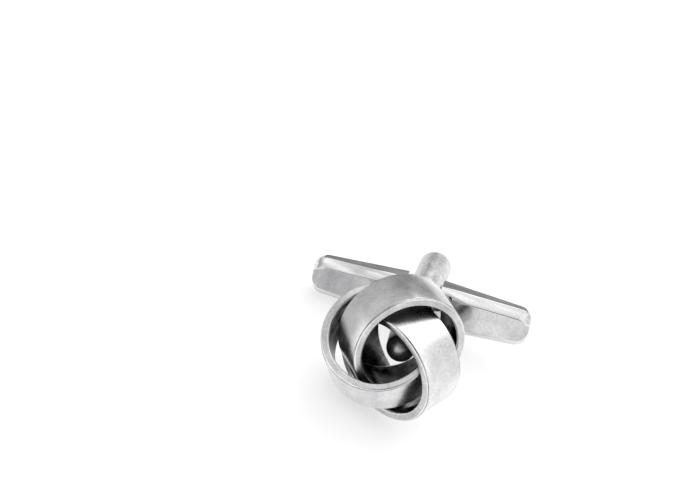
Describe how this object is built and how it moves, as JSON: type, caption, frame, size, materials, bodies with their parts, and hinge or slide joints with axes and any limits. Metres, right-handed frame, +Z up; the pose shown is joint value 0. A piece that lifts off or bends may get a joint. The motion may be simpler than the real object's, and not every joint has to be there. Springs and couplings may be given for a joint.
{
  "type": "knot cufflink",
  "caption": "Cufflink with a ball knot of linked open bands on a straight post, and a bevelled toggle bar that tips on a hinge pin through the post.",
  "frame": {"origin": "centre of the bottom of the cufflink's box, on the table that it lies on", "axes": "+Z up off the table, +Y from the knot along the post, +X along the toggle bar"},
  "size_m": [0.0206, 0.0238, 0.0126],
  "materials": {
    "band_metal": "mirror polished, rhodium plated",
    "post_metal": "polished with fine lengthwise marks",
    "pin_metal": "polished, riveted over",
    "bar_metal": "polished with crisp bevels"
  },
  "bodies": {
    "knot_and_post": {"band_low": "band_metal", "band_right": "band_metal", "band_left": "band_metal", "post": "post_metal", "hinge_pin": "pin_metal"},
    "bar": {"toggle_bar": "bar_metal"}
  },
  "joints": [
    {"name": "bar_swing", "type": "hinge", "parent": "knot_and_post", "child": "bar", "pos_m": [0, 0.00419, 0.0032], "axis": [-0.1298, 0.2352, 0.9632], "range_deg": [-35, 35]}
  ]
}
